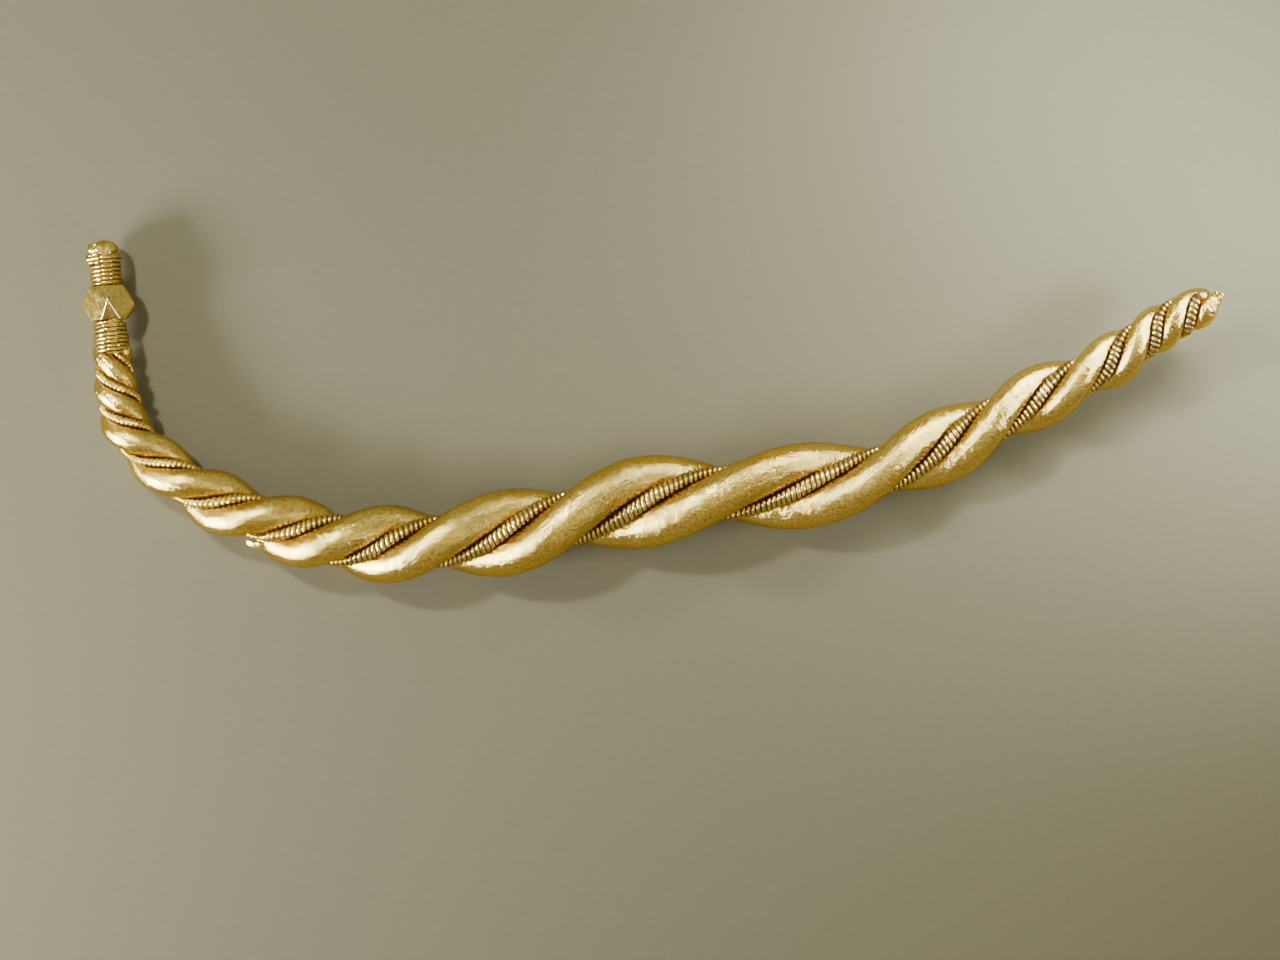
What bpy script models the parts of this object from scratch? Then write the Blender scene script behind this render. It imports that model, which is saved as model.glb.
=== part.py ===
"""Twisted gold arm ring, opened out and broken at one end, lying on a flat surface.

Two tapering rods are twisted together, thick in the middle of the hoop and thin at its ends, with a
beaded wire in each of the two grooves between them. The left end keeps its terminal: a faceted knob
on a short shank, with a plain wire wound round the shank on both sides of it. The right end is broken
to a rough point.

Metres, +Z up. The ring lies on the plane z = 0, with the middle of its box at x = y = 0. Places along
the ring are measured in plan, along its centre line, from the outer end of the terminal.
"""

import math

import bmesh
import bpy
import numpy as np
from mathutils import Vector

# Centre line in plan, from the outer end of the terminal to the broken tip
ROUTE = (
    (-0.1005, 0.0313),
    (-0.0995, 0.0194),
    (-0.0986, 0.0094),
    (-0.0974, 0.0007),
    (-0.0947, -0.0053),
    (-0.0902, -0.0096),
    (-0.0825, -0.0150),
    (-0.0703, -0.0204),
    (-0.0557, -0.0241),
    (-0.0397, -0.0241),
    (-0.0247, -0.0221),
    (-0.0097, -0.0185),
    (0.0083, -0.0155),
    (0.0263, -0.0140),
    (0.0403, -0.0116),
    (0.0546, -0.0060),
    (0.0702, 0.0020),
    (0.0851, 0.0096),
    (0.0956, 0.0166),
    (0.1053, 0.0208),
)

# Twisted hoop: where it starts and ends, and where its rods are thickest
HOOP_START = 0.0207
HOOP_END = 0.2508
THICKEST_AT = 0.1390
TAPER_POWER = 1.55

# Places where a groove between the rods faces straight up: the rods turn half a turn from one to the next
GROOVE_UP_AT = (
    0.0269, 0.0335, 0.0436, 0.0568, 0.0718, 0.0885, 0.1104,
    0.1370, 0.1668, 0.1935, 0.2132, 0.2279, 0.2376, 0.2450,
)

ROD_RADIUS_THICK = 0.00410
ROD_RADIUS_START = 0.00170
ROD_RADIUS_END = 0.00158
ROD_TUCK = 0.0030
ROD_TUCK_RADIUS = 0.00110
ROD_SHOULDER = 0.0012

BEADED_RADIUS_THICK = 0.00105
BEADED_RADIUS_START = 0.00050
BEADED_RADIUS_END = 0.00062
BEADED_SHORT_OF_TIP = 0.0042

# Broken right end: one rod runs out to a point, the other breaks off short
TIP_LENGTH = 0.0038
TIP_RADIUS = 0.00030
TIP_LEAN = 0.00130
BREAK_SHORT_OF_TIP = 0.0030
BREAK_LENGTH = 0.0012
BREAK_SHARE = 0.70

# Terminal: shank with a domed head at its outer end, and a faceted knob
HEAD_LENGTH = 0.0020
HEAD_RADIUS = 0.00290
HEAD_DOME = 0.0014
SHANK_RADIUS = 0.00215
KNOB_START = 0.0085
KNOB_END = 0.0147
KNOB_RADIUS = 0.00500
KNOB_END_RADIUS = 0.00365
KNOB_CORNERS = 4
KNOB_END_CORNER = math.radians(27)
KNOB_FRONT_SHIFT = -0.0005

# Plain wire wound round the shank
BINDING_WIRE_RADIUS = 0.00034
BINDING_OUTER_TURNS = 7.3
BINDING_INNER_TURNS = 7.3
BINDING_FLARE = 0.00035

# Height of the centre line: how the ring lies
REST_CUT = 0.00030
KNOB_REST_CUT = 0.00050
TIP_LIFT = 0.0115
TIP_LIFT_FROM = 0.1800
KNOB_LIFT_FROM = 0.1100

GAP = 0.0003

# Fineness of the faceted solids
ROD_SIDES = 12
WIRE_SIDES = 6
BINDING_SIDES = 5
RINGS_PER_HALF_TURN = 7
SHOULDER_RINGS = 4
BREAK_RINGS = 5
BINDING_RINGS_PER_TURN = 10
DOME_RINGS = 4
ROUTE_SAMPLES = 2400
SHARP_ANGLE = math.radians(40)

HALF_TURN = math.pi
QUARTER_TURN = math.pi / 2
FULL_TURN = 2 * math.pi


def smooth_curve(knots, values):
    """A function that passes smoothly through the values at the knots: a natural cubic spline."""
    knots = np.asarray(knots, dtype=float)
    values = np.asarray(values, dtype=float)
    step = np.diff(knots)
    slope = np.diff(values) / step
    rows = np.eye(len(knots))
    right = np.zeros(len(knots))
    for i in range(1, len(knots) - 1):
        rows[i, i - 1:i + 2] = step[i - 1], 2 * (step[i - 1] + step[i]), step[i]
        right[i] = 6 * (slope[i] - slope[i - 1])
    bend = np.linalg.solve(rows, right)

    def value(at):
        span = np.clip(np.searchsorted(knots, at) - 1, 0, len(step) - 1)
        after = (at - knots[span]) / step[span]
        before = 1 - after
        curve = (before ** 3 - before) * bend[span] + (after ** 3 - after) * bend[span + 1]
        return before * values[span] + after * values[span + 1] + curve * step[span] ** 2 / 6

    return value


def tapered(at, thick, start, end):
    """A radius that is thick in the middle of the hoop and falls to start and end at its two ends."""
    to_start = np.clip((THICKEST_AT - at) / (THICKEST_AT - HOOP_START), 0, None)
    to_end = np.clip((at - THICKEST_AT) / (HOOP_END - THICKEST_AT), 0, None)
    return thick - (thick - start) * to_start ** TAPER_POWER - (thick - end) * to_end ** TAPER_POWER


def rod_radius(at):
    return tapered(at, ROD_RADIUS_THICK, ROD_RADIUS_START, ROD_RADIUS_END)


def rod_offset(at):
    """Distance from the centre line to a rod's own middle: the rods meet on the centre line."""
    return rod_radius(at) + GAP / 2


def hoop_reach(at):
    return rod_offset(at) + rod_radius(at)


def beaded_radius(at):
    return tapered(at, BEADED_RADIUS_THICK, BEADED_RADIUS_START, BEADED_RADIUS_END)


def twist(at):
    """Angle of the first groove, from straight up towards the left of the way along the ring."""
    turned = HALF_TURN * np.arange(len(GROOVE_UP_AT))
    return smooth_curve(GROOVE_UP_AT, turned)(at)


def centre_height(at):
    """Height of the centre line: the hoop's middle and the knob rest, and the broken end rises."""
    middle_of_knob = (KNOB_START + KNOB_END) / 2
    knob_lift = KNOB_RADIUS - KNOB_REST_CUT - hoop_reach(middle_of_knob) + REST_CUT
    knob_share = np.clip((KNOB_LIFT_FROM - at) / (KNOB_LIFT_FROM - middle_of_knob), 0, None) ** 2
    tip_share = np.clip((at - TIP_LIFT_FROM) / (HOOP_END - TIP_LIFT_FROM), 0, None) ** 2
    return hoop_reach(at) - REST_CUT + knob_lift * knob_share + TIP_LIFT * tip_share


class CentreLine:
    """The line that the whole ring is set out from."""

    def __init__(self):
        corners = np.array(ROUTE)
        chord = np.r_[0, np.cumsum(np.linalg.norm(np.diff(corners, axis=0), axis=1))]
        fine = np.linspace(0, chord[-1], ROUTE_SAMPLES)
        self.plan = np.stack([smooth_curve(chord, corners[:, axis])(fine) for axis in (0, 1)], axis=1)
        self.at = np.r_[0, np.cumsum(np.linalg.norm(np.diff(self.plan, axis=0), axis=1))]

    def point(self, at):
        x = np.interp(at, self.at, self.plan[:, 0])
        y = np.interp(at, self.at, self.plan[:, 1])
        return np.stack([x, y, centre_height(at)], axis=-1)

    def frame(self, at):
        """The point at a place along the ring, and the unit directions along, left and up there."""
        reach = self.at[-1] / ROUTE_SAMPLES
        along = self.point(at + reach) - self.point(at - reach)
        along /= np.linalg.norm(along, axis=-1, keepdims=True)
        left = np.cross([0.0, 0.0, 1.0], along)
        left /= np.linalg.norm(left, axis=-1, keepdims=True)
        return self.point(at), along, left, np.cross(along, left)

    def around(self, at, angle, radius):
        """Points at a radius from the centre line, turned from straight up towards the left."""
        point, _, left, up = self.frame(at)
        angle = np.asarray(angle)[..., None]
        return point + np.asarray(radius)[..., None] * (np.sin(angle) * left + np.cos(angle) * up)


CENTRE = CentreLine()


def rod_path(turn, at):
    return CENTRE.around(at, twist(at) + turn, rod_offset(at))


def seat_radius(turn, at):
    """Distance from the centre line at which a beaded wire lies on both rods, found by halving."""
    fine = np.linspace(HOOP_START, HOOP_END, ROUTE_SAMPLES)
    rods = np.concatenate([rod_path(turn + QUARTER_TURN, fine), rod_path(turn - QUARTER_TURN, fine)])
    thick = np.tile(rod_radius(fine), 2)
    low = np.zeros_like(at)
    high = 2 * hoop_reach(at)
    halvings = 16
    for _ in range(halvings):
        middle = (low + high) / 2
        points = CENTRE.around(at, twist(at) + turn, middle)
        away = np.linalg.norm(points[:, None] - rods[None], axis=2) - thick
        clear = away.min(axis=1) >= beaded_radius(at) + GAP
        high = np.where(clear, middle, high)
        low = np.where(clear, low, middle)
    return high


def gold(name, colour, roughness):
    material = bpy.data.materials.new(name)
    material.use_nodes = True
    shader = material.node_tree.nodes["Principled BSDF"]
    shader.inputs["Base Color"].default_value = (*colour, 1)
    shader.inputs["Metallic"].default_value = 1
    shader.inputs["Roughness"].default_value = roughness
    return material


def add_object(name, bm, material):
    mesh = bpy.data.meshes.new(name)
    bm.to_mesh(mesh)
    bm.free()
    mesh.materials.append(material)
    mesh.shade_smooth()
    mesh.set_sharp_from_angle(angle=SHARP_ANGLE)
    piece = bpy.data.objects.new(name, mesh)
    bpy.context.scene.collection.objects.link(piece)
    return piece


def tube(name, path, outwards, radii, sides, material):
    """A closed tube along a path: a cylinder cut into rings, each ring set square to the path."""
    last = len(path) - 1
    along = np.gradient(path, axis=0)
    along /= np.linalg.norm(along, axis=1, keepdims=True)
    first = outwards - (outwards * along).sum(axis=1, keepdims=True) * along
    first /= np.linalg.norm(first, axis=1, keepdims=True)
    second = np.cross(along, first)
    bm = bmesh.new()
    bmesh.ops.create_cone(bm, cap_ends=True, segments=sides, radius1=1, radius2=1, depth=last)
    uprights = [e for e in bm.edges if abs(e.verts[0].co.z - e.verts[1].co.z) > last / 2]
    bmesh.ops.subdivide_edges(bm, edges=uprights, cuts=last - 1, use_grid_fill=True)
    for vert in bm.verts:
        ring = round(vert.co.z + last / 2)
        across = vert.co.x * first[ring] + vert.co.y * second[ring]
        vert.co = Vector(path[ring] + radii[ring] * across)
    return add_object(name, bm, material)


def stations(start, end):
    """Places along the hoop, evenly spread over its twist, so that a tight lay gets more rings."""
    fine = np.linspace(start, end, ROUTE_SAMPLES)
    angle = twist(fine)
    rings = math.ceil((angle[-1] - angle[0]) / HALF_TURN * RINGS_PER_HALF_TURN)
    return np.interp(np.linspace(angle[0], angle[-1], rings + 1), angle, fine)


def with_steps(at, start, end, steps):
    """The stations with a closer, even set of them from start to end."""
    kept = [place for place in at if not start < place < end]
    return np.array(sorted({*kept, *np.linspace(start, end, steps)}))


def ease(share):
    share = np.clip(share, 0, 1)
    return share * share * (3 - 2 * share)


def make_rod(name, turn, end, break_length, end_radius, lean, material):
    """One rod, narrowed under the inner binding at its start and broken off at its end."""
    start = HOOP_START - ROD_TUCK
    at = with_steps(stations(start, end), HOOP_START, HOOP_START + ROD_SHOULDER, SHOULDER_RINGS)
    at = with_steps(at, end - break_length, end, BREAK_RINGS)
    radii = rod_radius(at)
    radii += (ROD_TUCK_RADIUS - radii) * (1 - ease((at - HOOP_START) / ROD_SHOULDER))
    broken = np.clip((at - end + break_length) / break_length, 0, 1) ** 2
    offset = radii + GAP / 2 - lean * broken
    radii += (end_radius - radii) * broken
    angle = twist(at) + turn
    path = CENTRE.around(at, angle, offset)
    outwards = CENTRE.around(at, angle, offset + 1) - path
    return tube(name, path, outwards, radii, ROD_SIDES, material)


def make_beaded_wire(name, turn, material):
    at = stations(HOOP_START + GAP, HOOP_END - BEADED_SHORT_OF_TIP)
    angle = twist(at) + turn
    path = CENTRE.around(at, angle, seat_radius(turn, at))
    outwards = path - CENTRE.point(at)
    return tube(name, path, outwards, beaded_radius(at), WIRE_SIDES, material)


def make_binding(name, start, end, turns, flare, material):
    """Plain wire wound round the shank, in turns that lie side by side."""
    rings = round(turns * BINDING_RINGS_PER_TURN)
    share = np.linspace(0, 1, rings + 1)
    at = start + BINDING_WIRE_RADIUS + (end - start - 2 * BINDING_WIRE_RADIUS) * share
    angle = -FULL_TURN * turns * share
    path = CENTRE.around(at, angle, SHANK_RADIUS + GAP + BINDING_WIRE_RADIUS + flare * share)
    outwards = path - CENTRE.point(at)
    radii = np.full(len(at), BINDING_WIRE_RADIUS)
    return tube(name, path, outwards, radii, BINDING_SIDES, material)


def as_guide(piece):
    piece.hide_render = True
    piece.display_type = "WIRE"
    return piece


def make_shank(material):
    """The rod through the knob and both bindings, with a domed head at its outer end."""
    steps = QUARTER_TURN * np.arange(1, DOME_RINGS + 1) / DOME_RINGS
    dome = HEAD_DOME * (1 - np.cos(steps))
    inner_end = HOOP_START - ROD_TUCK - ROD_TUCK_RADIUS - GAP
    at = np.array([*dome, HEAD_LENGTH - GAP, HEAD_LENGTH, KNOB_START, KNOB_END, inner_end])
    radii = np.array([*HEAD_RADIUS * np.sin(steps), HEAD_RADIUS] + [SHANK_RADIUS] * 4)
    path = CENTRE.point(at)
    _, _, _, up = CENTRE.frame(at)
    return as_guide(tube("shank", path, up, radii, ROD_SIDES, material))


def make_knob(material):
    """The knob: single corners round its middle and pairs of corners round each end, with flat facets between."""
    middle = (KNOB_START + KNOB_END) / 2
    bm = bmesh.new()
    for number in range(KNOB_CORNERS):
        angle = FULL_TURN * number / KNOB_CORNERS
        shift = KNOB_FRONT_SHIFT if number == 0 else 0
        bm.verts.new(CENTRE.around(middle + shift, angle, KNOB_RADIUS))
        for place in (KNOB_START, KNOB_END):
            for side in (-KNOB_END_CORNER, KNOB_END_CORNER):
                bm.verts.new(CENTRE.around(place, angle + side, KNOB_END_RADIUS))
    bmesh.ops.convex_hull(bm, input=bm.verts)
    return add_object("terminal_knob", bm, material)


def combine(piece, other, operation):
    change = piece.modifiers.new(operation.lower(), "BOOLEAN")
    change.operation = operation
    change.solver = "EXACT"
    change.object = other


def make_bench(material):
    """A block with its top at z = 0: it cuts the small flats on which the ring lies."""
    size = 2 * HOOP_END
    bm = bmesh.new()
    bmesh.ops.create_cube(bm, size=size)
    bmesh.ops.translate(bm, verts=bm.verts, vec=(0, 0, -size / 2))
    return as_guide(add_object("bench", bm, material))


def build():
    for old in list(bpy.data.objects):
        bpy.data.objects.remove(old)
    bright = gold("bright_gold", (0.83, 0.62, 0.25), 0.30)
    worn = gold("worn_gold", (0.78, 0.58, 0.24), 0.42)

    rod_a = make_rod("rod_a", QUARTER_TURN, HOOP_END, TIP_LENGTH, TIP_RADIUS, TIP_LEAN, bright)
    rod_b = make_rod("rod_b", -QUARTER_TURN, HOOP_END - BREAK_SHORT_OF_TIP, BREAK_LENGTH,
                     ROD_RADIUS_END * BREAK_SHARE, 0, bright)
    make_beaded_wire("beaded_wire_a", 0, worn)
    make_beaded_wire("beaded_wire_b", HALF_TURN, worn)

    knob = make_knob(bright)
    combine(knob, make_shank(bright), "UNION")
    make_binding("binding_outer", HEAD_LENGTH + GAP, KNOB_START - GAP, BINDING_OUTER_TURNS, 0, worn)
    make_binding("binding_inner", KNOB_END + GAP, HOOP_START, BINDING_INNER_TURNS, BINDING_FLARE, worn)

    bench = make_bench(bright)
    for piece in (rod_a, rod_b, knob):
        combine(piece, bench, "DIFFERENCE")


build()
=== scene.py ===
# %% [markdown]
# # A twisted gold arm ring
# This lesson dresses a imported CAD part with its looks. The real object is an arm ring of nearly pure
# gold: two tapering rods twisted together, with a ring-ridged wire in each of the two grooves between
# them. One end keeps its faceted knob between two wire bindings. The other end is broken. The CAD model
# is the frame that everything is set out from, so it is loaded first and never changed.

# %% Load the frame
import math

import bmesh
import bpy
import numpy as np
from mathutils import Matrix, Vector, kdtree


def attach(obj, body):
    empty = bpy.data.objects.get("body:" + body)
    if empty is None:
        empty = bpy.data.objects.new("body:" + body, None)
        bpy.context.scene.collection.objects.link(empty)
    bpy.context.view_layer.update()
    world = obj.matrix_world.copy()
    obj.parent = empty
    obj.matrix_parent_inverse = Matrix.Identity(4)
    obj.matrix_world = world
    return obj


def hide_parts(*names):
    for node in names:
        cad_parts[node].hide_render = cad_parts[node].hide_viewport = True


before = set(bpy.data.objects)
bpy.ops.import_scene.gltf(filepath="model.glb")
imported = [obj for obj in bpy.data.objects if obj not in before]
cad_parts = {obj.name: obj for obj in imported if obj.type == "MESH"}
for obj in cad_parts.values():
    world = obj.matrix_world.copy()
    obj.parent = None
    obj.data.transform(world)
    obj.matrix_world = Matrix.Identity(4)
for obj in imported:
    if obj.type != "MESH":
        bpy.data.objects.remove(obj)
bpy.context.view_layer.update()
print("CAD nodes:", ", ".join(sorted(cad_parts)))

# %% [markdown]
# ## Camera
# The photograph was taken from straight above, as for a catalogue. One millimetre is 5.417 pixels of a
# picture 1280 pixels wide at the height of the table, and that sets the lens once the camera's height is
# chosen.

# %% Set the camera
PICTURE_WIDTH = 1280
PIXELS_PER_METRE = 5417
CAMERA_PLACE = (-0.001806, -0.012737, 1.0)
SENSOR_WIDTH = 36
NEAREST_SEEN = 0.01

camera_data = bpy.data.cameras.new("camera")
camera_data.sensor_width = SENSOR_WIDTH
camera_data.lens = SENSOR_WIDTH * CAMERA_PLACE[2] * PIXELS_PER_METRE / PICTURE_WIDTH
camera_data.clip_start = NEAREST_SEEN
camera = bpy.data.objects.new("camera", camera_data)
camera.location = CAMERA_PLACE
bpy.context.scene.collection.objects.link(camera)
bpy.context.scene.camera = camera
print(f"lens: {camera_data.lens:.1f} mm")

# %% [markdown]
# ## Node helpers
# Every finish below is a small network of nodes. It could be wired by hand in the shader editor, but
# short helpers are easier to read: one starts a material, one adds a node and plugs its inputs, one
# makes grain of a given size, one turns a range of values into another, one blends two colours, and two
# do sums.


# %% Helpers for materials
def new_material(name):
    material = bpy.data.materials.new(name)
    material.use_nodes = True
    tree = material.node_tree
    return material, tree, tree.nodes["Principled BSDF"]


def add_node(tree, kind, inputs, **settings):
    """Add a node; an input is either another node's output or a plain value."""
    node = tree.nodes.new(kind)
    for key, value in settings.items():
        setattr(node, key, value)
    for key, value in inputs.items():
        if isinstance(value, bpy.types.NodeSocket):
            tree.links.new(value, node.inputs[key])
        else:
            node.inputs[key].default_value = value
    return node


def grain(tree, place, size, detail=2.0, rough=0.5, stretch=(1, 1, 1), turn=(0, 0, 0)):
    """Noise whose features are about the given size in metres."""
    mapped = add_node(tree, "ShaderNodeMapping", {"Vector": place, "Scale": stretch, "Rotation": turn})
    inputs = {"Vector": mapped.outputs["Vector"], "Scale": 1 / size, "Detail": detail, "Roughness": rough}
    return add_node(tree, "ShaderNodeTexNoise", inputs).outputs["Fac"]


def ranged(tree, value, low, high, to_low, to_high):
    inputs = {"Value": value, "From Min": low, "From Max": high, "To Min": to_low, "To Max": to_high}
    node = add_node(tree, "ShaderNodeMapRange", inputs, interpolation_type="SMOOTHSTEP")
    return node.outputs["Result"]


def blend(tree, share, first, second):
    node = add_node(tree, "ShaderNodeMix", {0: share}, data_type="RGBA")
    for index, value in ((6, first), (7, second)):
        if isinstance(value, bpy.types.NodeSocket):
            tree.links.new(value, node.inputs[index])
        else:
            node.inputs[index].default_value = (*value, 1)
    return node.outputs[2]


def times(tree, first, second):
    return add_node(tree, "ShaderNodeMath", {0: first, 1: second}, operation="MULTIPLY").outputs[0]


def plus(tree, first, second):
    return add_node(tree, "ShaderNodeMath", {0: first, 1: second}, operation="ADD").outputs[0]


# %% [markdown]
# ## The table
# The ring lies on a plain, matt, pale surface. A flat grid is enough for it. A faint mottle keeps it
# from looking printed, and it lies a hair below the ring so that the two never share a face.

# %% Make the table
TABLE_SIZE = 3.0
TABLE_CELLS = 8
TABLE_DROP = 0.00002
TABLE_TONE = (0.123, 0.0990, 0.0248)
TABLE_ROUGHNESS = 0.85
MOTTLE_SIZE = 0.0012
MOTTLE_EDGES = (0.35, 0.65)
MOTTLE_LIGHTER = 1.05

bm = bmesh.new()
bmesh.ops.create_grid(bm, x_segments=TABLE_CELLS, y_segments=TABLE_CELLS, size=TABLE_SIZE / 2)
bmesh.ops.translate(bm, verts=bm.verts, vec=(0, 0, -TABLE_DROP))
table_mesh = bpy.data.meshes.new("table")
bm.to_mesh(table_mesh)
bm.free()
table = bpy.data.objects.new("table", table_mesh)
bpy.context.scene.collection.objects.link(table)
table_material, tree, shader = new_material("pale_table")
place = add_node(tree, "ShaderNodeTexCoord", {}).outputs["Object"]
mottle = ranged(tree, grain(tree, place, MOTTLE_SIZE, detail=3.0), *MOTTLE_EDGES, 0, 1)
colour = blend(tree, mottle, TABLE_TONE, tuple(MOTTLE_LIGHTER * tone for tone in TABLE_TONE))
tree.links.new(colour, shader.inputs["Base Color"])
shader.inputs["Roughness"].default_value = TABLE_ROUGHNESS
table_mesh.materials.append(table_material)
print(f"table: {TABLE_SIZE} m square")

# %% [markdown]
# ## Lamps and sky
# Rubbed gold mirrors its lamps, so the place of each lamp decides where a highlight falls, and its size
# how wide the highlight is. Two small lamps stand on the left, one low and one high. Two weak ones light
# the broken end, and a very weak one catches the cut edge of the knob. A broad lamp overhead evens the
# table, and a sky that is a little cooler on the far side fills the shadows.

# %% Set the lamps
LAMP_TONE = (0.86, 1.0, 1.70)
TOP_TONE = (0.90, 1.0, 1.20)
LAMPS = {
    "left_lamp": {
        "place": (-0.430, -0.150, 0.140), "aim": (-0.12, -0.04, 0), "size": (0.17, 0.078),
        "watts": 1.35, "spread": 80, "tone": LAMP_TONE,
    },
    "high_lamp": {
        "place": (-0.300, 0.210, 0.430), "aim": (-0.05, 0, 0), "size": (0.052, 0.040),
        "watts": 3.5, "spread": 180, "tone": LAMP_TONE,
    },
    "right_lamp": {
        "place": (0.235, 0.000, 0.105), "aim": (0.120, 0.010, 0), "size": (0.06, 0.035),
        "watts": 0.06, "spread": 46, "tone": LAMP_TONE,
    },
    "far_lamp": {
        "place": (0.130, 0.130, 0.130), "aim": (0.090, 0.045, 0), "size": (0.12, 0.022),
        "watts": 0.16, "spread": 58, "tone": LAMP_TONE,
    },
    "edge_lamp": {
        "place": (0.132, -0.121, 0.159), "aim": (-0.099, 0.033, 0.006), "size": (0.03, 0.03),
        "watts": 0.003, "spread": 20, "tone": LAMP_TONE,
    },
    "top_lamp": {
        "place": (0.04, 0.02, 1.25), "aim": (0, 0, 0), "size": (1.50, 1.10),
        "watts": 3.3, "spread": 180, "tone": TOP_TONE,
    },
}

for name, lamp in LAMPS.items():
    data = bpy.data.lights.new(name, "AREA")
    data.shape = "RECTANGLE"
    data.size, data.size_y = lamp["size"]
    data.energy = lamp["watts"]
    data.spread = math.radians(lamp["spread"])
    data.color = lamp["tone"]
    body = bpy.data.objects.new(name, data)
    body.location = lamp["place"]
    body.rotation_euler = (Vector(lamp["place"]) - Vector(lamp["aim"])).to_track_quat("Z", "Y").to_euler()
    body.visible_camera = False
    bpy.context.scene.collection.objects.link(body)
print("lamps:", ", ".join(LAMPS))

# %% Set the sky
NORTH_SKY = (0.46, 0.49, 0.55)
SOUTH_SKY = (0.38, 0.35, 0.33)
SKY_CHANGES_OVER = 0.8

world = bpy.data.worlds.new("sky")
world.use_nodes = True
sky = world.node_tree
way = add_node(sky, "ShaderNodeTexCoord", {}).outputs["Generated"]
northing = add_node(sky, "ShaderNodeSeparateXYZ", {0: way}).outputs["Y"]
north_share = ranged(sky, northing, -SKY_CHANGES_OVER, SKY_CHANGES_OVER, 0, 1)
tone = blend(sky, north_share, SOUTH_SKY, NORTH_SKY)
sky.links.new(tone, sky.nodes["Background"].inputs["Color"])
bpy.context.scene.world = world
print("sky: south", SOUTH_SKY, "to north", NORTH_SKY)

# %% [markdown]
# ## Setting out
# Everything on the ring follows one centre line, drawn in plan from the outer end of the head to the
# broken tip. The numbers are those of the CAD source, so each new piece lands where its solid is. A
# natural cubic spline keeps the line as smooth as bent metal is.

# %% Sizes of the ring
ROUTE = (
    (-0.1005, 0.0313), (-0.0995, 0.0194), (-0.0986, 0.0094), (-0.0974, 0.0007), (-0.0947, -0.0053),
    (-0.0902, -0.0096), (-0.0825, -0.0150), (-0.0703, -0.0204), (-0.0557, -0.0241), (-0.0397, -0.0241),
    (-0.0247, -0.0221), (-0.0097, -0.0185), (0.0083, -0.0155), (0.0263, -0.0140), (0.0403, -0.0116),
    (0.0546, -0.0060), (0.0702, 0.0020), (0.0851, 0.0096), (0.0956, 0.0166), (0.1053, 0.0208),
)
HOOP_START = 0.0207
HOOP_END = 0.2508
THICKEST_AT = 0.1390
TAPER_POWER = 1.55
GROOVE_UP_AT = (
    0.0269, 0.0335, 0.0436, 0.0568, 0.0718, 0.0885, 0.1104,
    0.1370, 0.1668, 0.1935, 0.2132, 0.2279, 0.2376, 0.2450,
)
ROD_RADII = (0.00410, 0.00170, 0.00158)
KNOB_START = 0.0085
KNOB_END = 0.0147
KNOB_RADIUS = 0.00500
REST_CUT = 0.00030
KNOB_REST_CUT = 0.00050
TIP_LIFT = 0.0115
TIP_LIFT_FROM = 0.1800
KNOB_LIFT_FROM = 0.1100
GAP = 0.0003
print(f"hoop: {1000 * (HOOP_END - HOOP_START):.1f} mm along its centre line")

# %% Centre line
ROUTE_SAMPLES = 2400
HALF_TURN = math.pi
QUARTER_TURN = math.pi / 2
FULL_TURN = 2 * math.pi


def smooth_curve(knots, values):
    """A function that passes smoothly through the values at the knots: a natural cubic spline."""
    knots = np.asarray(knots, dtype=float)
    values = np.asarray(values, dtype=float)
    step = np.diff(knots)
    slope = np.diff(values) / step
    rows = np.eye(len(knots))
    right = np.zeros(len(knots))
    for i in range(1, len(knots) - 1):
        rows[i, i - 1:i + 2] = step[i - 1], 2 * (step[i - 1] + step[i]), step[i]
        right[i] = 6 * (slope[i] - slope[i - 1])
    bend = np.linalg.solve(rows, right)

    def value(at):
        span = np.clip(np.searchsorted(knots, at) - 1, 0, len(step) - 1)
        after = (at - knots[span]) / step[span]
        before = 1 - after
        curve = (before ** 3 - before) * bend[span] + (after ** 3 - after) * bend[span + 1]
        return before * values[span] + after * values[span + 1] + curve * step[span] ** 2 / 6

    return value


def tapered(at, radii):
    """A radius that is thick in the middle of the hoop and falls towards its two ends."""
    thick, start, end = radii
    to_start = np.clip((THICKEST_AT - at) / (THICKEST_AT - HOOP_START), 0, None)
    to_end = np.clip((at - THICKEST_AT) / (HOOP_END - THICKEST_AT), 0, None)
    return thick - (thick - start) * to_start ** TAPER_POWER - (thick - end) * to_end ** TAPER_POWER


def hoop_reach(at):
    return 2 * tapered(at, ROD_RADII) + GAP / 2


def centre_height(at):
    """Height of the centre line: the hoop's middle and the knob rest, and the broken end rises."""
    middle_of_knob = (KNOB_START + KNOB_END) / 2
    knob_lift = KNOB_RADIUS - KNOB_REST_CUT - hoop_reach(middle_of_knob) + REST_CUT
    knob_share = np.clip((KNOB_LIFT_FROM - at) / (KNOB_LIFT_FROM - middle_of_knob), 0, None) ** 2
    tip_share = np.clip((at - TIP_LIFT_FROM) / (HOOP_END - TIP_LIFT_FROM), 0, None) ** 2
    return hoop_reach(at) - REST_CUT + knob_lift * knob_share + TIP_LIFT * tip_share


def measured_route():
    """The plan of the centre line in close steps, with the distance run at each."""
    corners = np.array(ROUTE)
    chord = np.r_[0, np.cumsum(np.linalg.norm(np.diff(corners, axis=0), axis=1))]
    fine = np.linspace(0, chord[-1], ROUTE_SAMPLES)
    plan = np.stack([smooth_curve(chord, corners[:, axis])(fine) for axis in (0, 1)], axis=1)
    return plan, np.r_[0, np.cumsum(np.linalg.norm(np.diff(plan, axis=0), axis=1))]


PLAN, RUN = measured_route()
print(f"centre line: {1000 * RUN[-1]:.1f} mm")

# %% [markdown]
# ## Places round the centre line
# A place on the ring is given as a distance run, an angle and a radius. The angle is turned from
# straight up towards the left of the way. The twist says where the first groove is at each distance.
# Nothing made by hand is quite even, so one helper gives soft unevenness, always the same for the same
# seed.


# %% Helpers for places on the ring
WAVE_SPREAD = (0.7, 1.5)


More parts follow.
